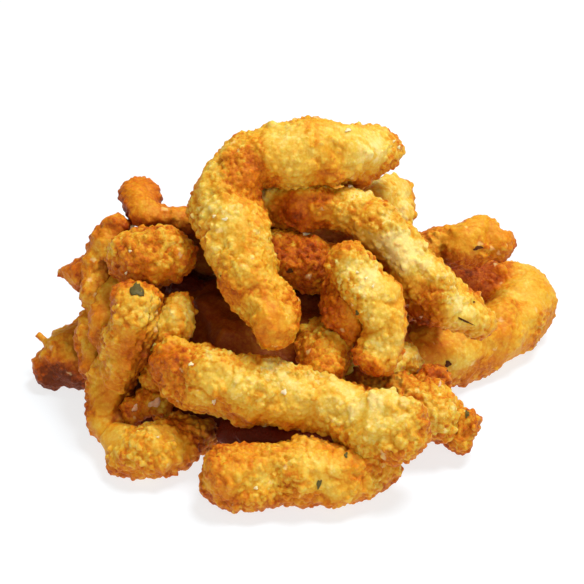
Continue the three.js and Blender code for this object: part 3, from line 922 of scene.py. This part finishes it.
TONE_AND_SHADE = [(*seen_at(x, y), reach, change) for x, y, reach, change in TONE_AND_SHADE_SPOTS]
BARE = [(*seen_at(x, y), reach, share) for x, y, reach, share in BARE_SPOTS]


def tree_of(points):
    tree = KDTree(len(points))
    for i, p in enumerate(points):
        tree.insert(p, i)
    tree.balance()
    return tree


class Layout:
    """Where on a bite a point is: how far round from its pale side, how near an end."""

    def __init__(self, name, seed, centre):
        self.name = name
        self.seed = seed
        self.soft = SOFT.get(name, 0.0)
        self.centre = centre
        self.pale_lit_side = PALE_LIT_SIDE * (TO_THE_BACK if name in BACK_BITES else 1)
        self.tree = None if centre is None else tree_of(centre)

    def edge_and_end(self, points):
        if self.tree is None:
            return np.full(len(points), CORE_EDGE), np.zeros(len(points))
        ring = np.array([self.tree.find(p)[1] for p in points])
        away = unit(points - self.centre[ring])
        to_end = np.minimum(ring, len(self.centre) - 1 - ring) * RING_SPACING
        edge = np.clip(EDGE_MIDDLE - away @ self.pale_lit_side, *EDGE_LIMITS)
        return edge, np.clip(1 - to_end / END_REACH, 0, 1)

    def spots(self, kind, points, rim):
        """The amount of each patch on this bite, and how far off it is in shares of its reach."""
        for name, middle, reach, amount in kind:
            if name == self.name:
                far = np.linalg.norm(points - middle, axis=1) / reach
                yield amount, far + relief(points, rim, self.seed)

    def bare_at(self, points):
        bare = np.zeros(len(points))
        for share, far in self.spots(BARE, points, BARE_RIM):
            bare = np.maximum(bare, share * np.clip(BARE_STEEPNESS * (BARE_END - far), 0, 1))
        return bare

    def crumbly(self, points, edge, end):
        patches = relief(points, PATCHES, self.seed) + relief(points, SMALL_PATCHES, self.seed)
        level = CRUMBLY_START + patches + CRUMBLY_EDGE * edge + CRUMBLY_END * end
        level = level - CRUMBLY_SOFT * self.soft
        return np.clip(level, 0, 1) * (1 - self.bare_at(points))

    def crumbly_at(self, points):
        return self.crumbly(points, *self.edge_and_end(points))


def coat(name, seed, verts, tris, toast, voxel, centre=None):
    """Covers a bare bite with crumbs, fuses them to one skin and gives it its colours."""
    rng = np.random.default_rng(FIRST_SEED + seed)
    layout = Layout(name, seed, centre)
    coarse = 1 - SOFT_FINER * layout.soft
    crumbs, at, size = crumbs_on(verts, tris, rng, layout, coarse)
    skin, faces = largest_skin(*fuse(*stack([(verts, tris), crumbs]), voxel))
    normals = vertex_normals(skin, faces)
    skin = skin + normals * relief(skin, SKIN, seed)[:, None]
    skin[:, 2] = np.maximum(skin[:, 2], 0.0)

    tree = tree_of(at)
    nearest = np.array([tree.find(p)[1] for p in skin])
    own = rng.normal(0, 1, len(at))
    pale_or_glint_share = 0.0 if name in HIDDEN or name == "core" else PALE_AND_GLINT_SHARE
    pale_or_glint_crumb = rng.random(len(at)) < pale_or_glint_share

    edge, end = layout.edge_and_end(skin)
    crumbly = layout.crumbly(skin, edge, end)
    rise = ((skin - at[nearest]) * normals).sum(1) / size[nearest]
    brown = toast + TOAST_SHIFT + CRUMBLY_BROWN * (crumbly - CRUMBLY_MIDDLE)
    brown += rough_relief(skin, BLOTCHES, seed)
    brown += rising(MOTTLE_BROWN, crumbly) * rough_relief(skin, MOTTLES, seed)
    brown += rising(CRUMB_BROWN, crumbly) * own[nearest]
    # Browner in the gaps between crumbs and paler on their tips: partly painted shade and light.
    brown += rising(SUNK_BROWN_AND_SHADE, crumbly) * np.clip(LEVEL_SHARE - rise, -LEVEL_SHARE, 1)
    # Browner in the creases: partly painted shade.
    brown += FOLD_BROWN_AND_SHADE * RUGGED.get(name, 1.0) * folds(skin, seed)
    uneven = 1 + relief(skin, UNEVEN, seed)
    rim = np.clip(edge * RIM_STEEPNESS - RIM_START, 0, 1)
    # Browner edges: partly real browning, partly painted shade on the sides turned from the light.
    brown += EDGE_BROWN_AND_SHADE.get(name, 1.0) * (SIDE_BROWN_AND_SHADE * edge + RIM_BROWN_AND_SHADE * uneven * rim)
    brown += END_BROWN * uneven * end
    # The patches: partly own tone, partly painted shade and painted light.
    for change, far in layout.spots(TONE_AND_SHADE, skin, BROWN_RIM):
        brown += change * np.clip(BROWN_END - far, 0, 1) ** BROWN_POWER
    brown = np.where(brown > BROWN_KNEE, BROWN_KNEE + PAST_KNEE * (brown - BROWN_KNEE), brown)
    show(name, skin, faces, CRUST, {
        "toast": np.clip(brown, 0, 1),
        "pale": np.where(pale_or_glint_crumb[nearest], PALE_AND_GLINT_AMOUNT, 0.0),
        # closed is painted shade, darker where other bites crowd the view out from a point.
        "closed": painted_shade_crowding(skin, normals, name) * PAINTED_SHADE_FACTORS.get(name, 1.0),
        "crumbly": crumbly,
    })


def voxel_of(name):
    """Small cubes where crumbs show clearly, large ones where little of the bite shows."""
    if name in HIDDEN:
        return VOXEL * HIDDEN_COARSER
    if name in BACK_BITES:
        return VOXEL * BACK_COARSER
    if name in SHARP:
        return VOXEL * SHARPER
    return VOXEL * (SOFTER if SOFT.get(name, 0.0) > SOFT_ENOUGH else 1)


for name, (seed, bite, centre, _, grid) in SHAPES.items():
    coat(name, seed, grid.reshape(-1, 3), grid_triangles(*grid.shape[:2]), bite["toast"],
         voxel_of(name), centre)
coat("core", CORE_SEED, *core_shape(), CORE_TOAST_AND_SHADE, VOXEL * CORE_COARSER)

# Flecks that lie on the coating: the pixel of the picture, the length and the width in mm
# and how far the length is turned from across, in degrees.
HERB_FLECKS = [
    (137, 290, 3.6, 3, -25), (319, 484, 2.1, 1.1, 75), (346, 455, 1.4, 0.8, 80), (467, 414, 1.8, 1, 90),
    (357, 313, 1.3, 0.8, 100),
]
DARK_FLECKS = [
    (290, 271, 1.6, 1.1, 10), (221, 276, 0.5, 0.5, 0), (413, 318, 1.6, 1.1, 0), (478, 248, 2.6, 1, 20),
    (448, 364, 1.8, 1.5, 60), (447, 371, 0.6, 0.6, 0), (465, 321, 4.2, 0.5, -22),
    (474, 302, 0.5, 0.5, 0),
]
# White flecks: pale crumbs, and painted glints where small highlights sit on crumb tips.
WHITE_FLECKS_AND_GLINTS = [
    (348, 130, 1.5, 0.8, 20), (350, 186, 1.2, 0.7, 0), (306, 234, 1.7, 0.7, 0),
    (394, 141, 0.9, 0.5, 40), (399, 147, 0.9, 0.6, 70), (132, 227, 1.2, 0.8, 30),
    (130, 251, 0.8, 0.6, 0), (126, 273, 0.9, 0.6, 60), (191, 364, 1.3, 0.8, 0), (284, 392, 1.4, 1.3, 0),
    (357, 272, 0.8, 0.6, 0), (366, 278, 0.8, 0.5, 30), (373, 286, 0.9, 0.5, 60),
    (225, 219, 1.5, 0.7, 10), (214, 216, 0.9, 0.6, 40), (158, 437, 0.7, 0.5, 0),
    (214, 402, 1.2, 0.9, 80), (256, 488, 1, 0.8, 0),
]
FLESH_FLECKS = [
    (155, 403, 3.4, 1.9, 25), (135, 408, 2, 1.2, 60), (407, 306, 1, 0.8, 0), (421, 317, 0.7, 0.6, 0),
    (440, 384, 1.6, 0.6, 80),
]

# A fleck is a flat flake of rings with a wavy outline: how many waves and how high each.
FLECK_SIDES = 16
FLECK_RINGS = (0.34, 0.68, 1.0)
FLECK_WAVES = ((3, 0.22), (5, 0.12))
WAVE_START = (0, 6)

# It follows the crust by a share, and a flat slope through the crust by the rest, within a
# depth in mm that grows away from its middle, and is raised by a share of its length. Its
# underside lies sunk, and its upper side is thinner at the rim and uneven.
FLECK_FOLLOWS = 0.6
FLECK_DEPTH = 0.3
DEPTH_GROWS = 1.4
FLECK_RAISED = 0.04
FLECK_SUNK = 0.35
RIM_THINNER = 0.6
FLECK_UNEVEN = (0.3, 0.8, 77)

# A few flecks of each kind lie at the back, somewhere in this range of x, y and z.
UNSEEN_FLECKS = 7
UNSEEN_X = (-35, 35)
UNSEEN_Y = 20.0
UNSEEN_Z = (15, 45)


def first_crust(origin, direction):
    """Where a sight line in mm first meets a bite, or None."""
    start, along = Vector(origin * MM), Vector(direction)
    graph = bpy.context.evaluated_depsgraph_get()
    hit, place, _, _, _, _ = bpy.context.scene.ray_cast(graph, start, along)
    return np.array(place) / MM if hit else None


def fleck(eye, target, length, width, turn, thick, rng):
    """A thin closed flake on the crust, where the sight line from eye to target meets it."""
    sight = unit(target - eye)
    middle = first_crust(eye, sight)
    if middle is None:
        return None
    across = unit(np.cross(sight, [0, 0, 1]))
    up = np.cross(across, sight)
    angle = np.linspace(0, 2 * math.pi, FLECK_SIDES, endpoint=False)
    outline = 1
    for waves, wave_height in FLECK_WAVES:
        outline = outline + wave_height * np.sin(waves * angle + rng.uniform(*WAVE_START))
    a, b = np.cos(angle) * outline * length / 2, np.sin(angle) * outline * width / 2
    tilt = math.radians(turn)
    a, b = a * math.cos(tilt) - b * math.sin(tilt), a * math.sin(tilt) + b * math.cos(tilt)
    share = np.concatenate([[0.0], np.repeat(FLECK_RINGS, FLECK_SIDES)])
    a, b = (np.concatenate([[0.0], *(v * ring for ring in FLECK_RINGS)]) for v in (a, b))
    flat = middle + a[:, None] * across + b[:, None] * up
    ways = unit(flat - eye)
    behind = np.zeros(len(flat))
    for i, way in enumerate(ways):
        place = first_crust(eye, way)
        if place is not None:
            behind[i] = (place - flat[i]) @ way
    depth = FLECK_DEPTH + DEPTH_GROWS * np.hypot(a, b)
    behind = np.clip(behind, -depth, depth)
    level = np.stack([np.ones(len(a)), a, b], axis=1)
    slope = level @ np.linalg.lstsq(level, behind, rcond=None)[0]
    behind = (1 - FLECK_FOLLOWS) * slope + FLECK_FOLLOWS * behind - FLECK_RAISED * length
    rise = thick * (1 - RIM_THINNER * share ** 2 + relief(flat, FLECK_UNEVEN, 0))
    top = flat + ways * (behind - rise)[:, None]
    bottom = flat + ways * (behind + FLECK_SUNK)[:, None]
    count = len(flat)
    fan = [(0, 1 + i, 1 + (i + 1) % FLECK_SIDES) for i in range(FLECK_SIDES)]
    upper = np.vstack([fan, 1 + grid_triangles(len(FLECK_RINGS), FLECK_SIDES)[:, ::-1]])
    outer = np.arange(count - FLECK_SIDES, count)
    rim = np.concatenate([outer, count + outer])[grid_triangles(2, FLECK_SIDES)[:, ::-1]]
    return np.vstack([top, bottom]), np.vstack([upper, count + upper[:, ::-1], rim])


def fleck_material(name, dark, light, specular, soft):
    material, nodes, links, shader = new_material(name)
    place = nodes.new("ShaderNodeTexCoord")
    mottle = nodes.new("ShaderNodeTexNoise")
    mottle.inputs["Scale"].default_value = 1500
    links.new(place.outputs["Object"], mottle.inputs["Vector"])
    blend = nodes.new("ShaderNodeMix")
    blend.data_type = "RGBA"
    links.new(mottle.outputs["Fac"], blend.inputs["Factor"])
    set_inputs(blend, {"A": srgb(*dark), "B": srgb(*light)})
    links.new(blend.outputs["Result"], shader.inputs["Base Color"])
    set_inputs(shader, {"Roughness": 0.5, "Specular IOR Level": specular,
                        "Subsurface Weight": soft, "Subsurface Radius": (1.0, 0.5, 0.25),
                        "Subsurface Scale": 0.0008})
    return material


def lay_flecks(name, flecks, thick, material, seed):
    """One piece of all the flecks of a kind: those of the picture and a few at the back."""
    rng = np.random.default_rng(seed)
    eye = ONLOOKER + HEAP_SHIFT
    parts = []
    for x, y, length, width, turn in flecks:
        parts.append(fleck(eye, eye + sight_at(x, y), length, width, turn, thick, rng))
    back_eye = ONLOOKER * TO_THE_BACK
    for _ in range(UNSEEN_FLECKS):
        target = np.array([rng.uniform(*UNSEEN_X), UNSEEN_Y, rng.uniform(*UNSEEN_Z)])
        length, width = flecks[rng.integers(1, len(flecks))][2:4]
        turn = rng.uniform(0, 180)
        parts.append(fleck(back_eye, target, length, width, turn, thick, rng))
    verts, faces = stack([part for part in parts if part is not None])
    show(name, verts - HEAP_SHIFT, faces, material, {})


HERB = fleck_material("herb", (58, 52, 22), (122, 110, 62), specular=0.12, soft=0.0)
DARK_SPECK = fleck_material("dark_speck", (52, 22, 8), (110, 62, 24), specular=0.12, soft=0.0)
# Pale crumbs and painted glints.
PALE_CRUMB_AND_GLINT = fleck_material("pale_crumb_and_glint", (246, 214, 150), (255, 244, 216), specular=0.4, soft=0.6)
BARE_FLESH = fleck_material("bare_flesh", (226, 140, 84), (255, 218, 180), specular=0.4, soft=0.6)

lay_flecks("herb_flecks", HERB_FLECKS, thick=0.22, material=HERB, seed=61)
lay_flecks("dark_flecks", DARK_FLECKS, thick=0.18, material=DARK_SPECK, seed=62)
lay_flecks("white_flecks_and_glints", WHITE_FLECKS_AND_GLINTS, thick=0.4, material=PALE_CRUMB_AND_GLINT, seed=63)
lay_flecks("flesh_flecks", FLESH_FLECKS, thick=0.4, material=BARE_FLESH, seed=64)

# The table, wide enough to fill the view. It glows to look white all over.
TABLE_HALF = 3.0
table_corners = np.array([[-1, -1, 0], [1, -1, 0], [1, 1, 0], [-1, 1, 0]]) * TABLE_HALF
table_mesh = raw_mesh("table", table_corners, np.array([[0, 1, 2, 3]]))
table_finish, _, _, table_shader = new_material("white_table")
set_inputs(table_shader, {"Base Color": (0.25, 0.29, 0.33, 1), "Roughness": 0.8,
                          "Emission Color": (1, 1, 1, 1), "Emission Strength": 0.74})
table_mesh.materials.append(table_finish)
placed("table", table_mesh)

# The lights point at the lower middle of the heap. Places and sizes are in metres.
LIGHT_TARGET = Vector((0, 0, 0.03))


def area_light(name, place, size, power):
    data = bpy.data.lights.new(name, "AREA")
    data.shape = "DISK"
    data.size = size
    data.energy = power
    light = placed(name, data)
    light.location = place
    light.rotation_euler = (LIGHT_TARGET - Vector(place)).to_track_quat("-Z", "Y").to_euler()


area_light("key", (0.3, 0.08, 1.05), size=0.45, power=11.0)
area_light("fill", (0.1, -1.0, 0.6), size=0.9, power=3.3)

world = bpy.data.worlds.new("studio")
world.use_nodes = True
set_inputs(world.node_tree.nodes["Background"], {"Color": (1, 0.86, 0.66, 1), "Strength": 0.3})
bpy.context.scene.world = world
bpy.context.scene.view_settings.view_transform = "Standard"
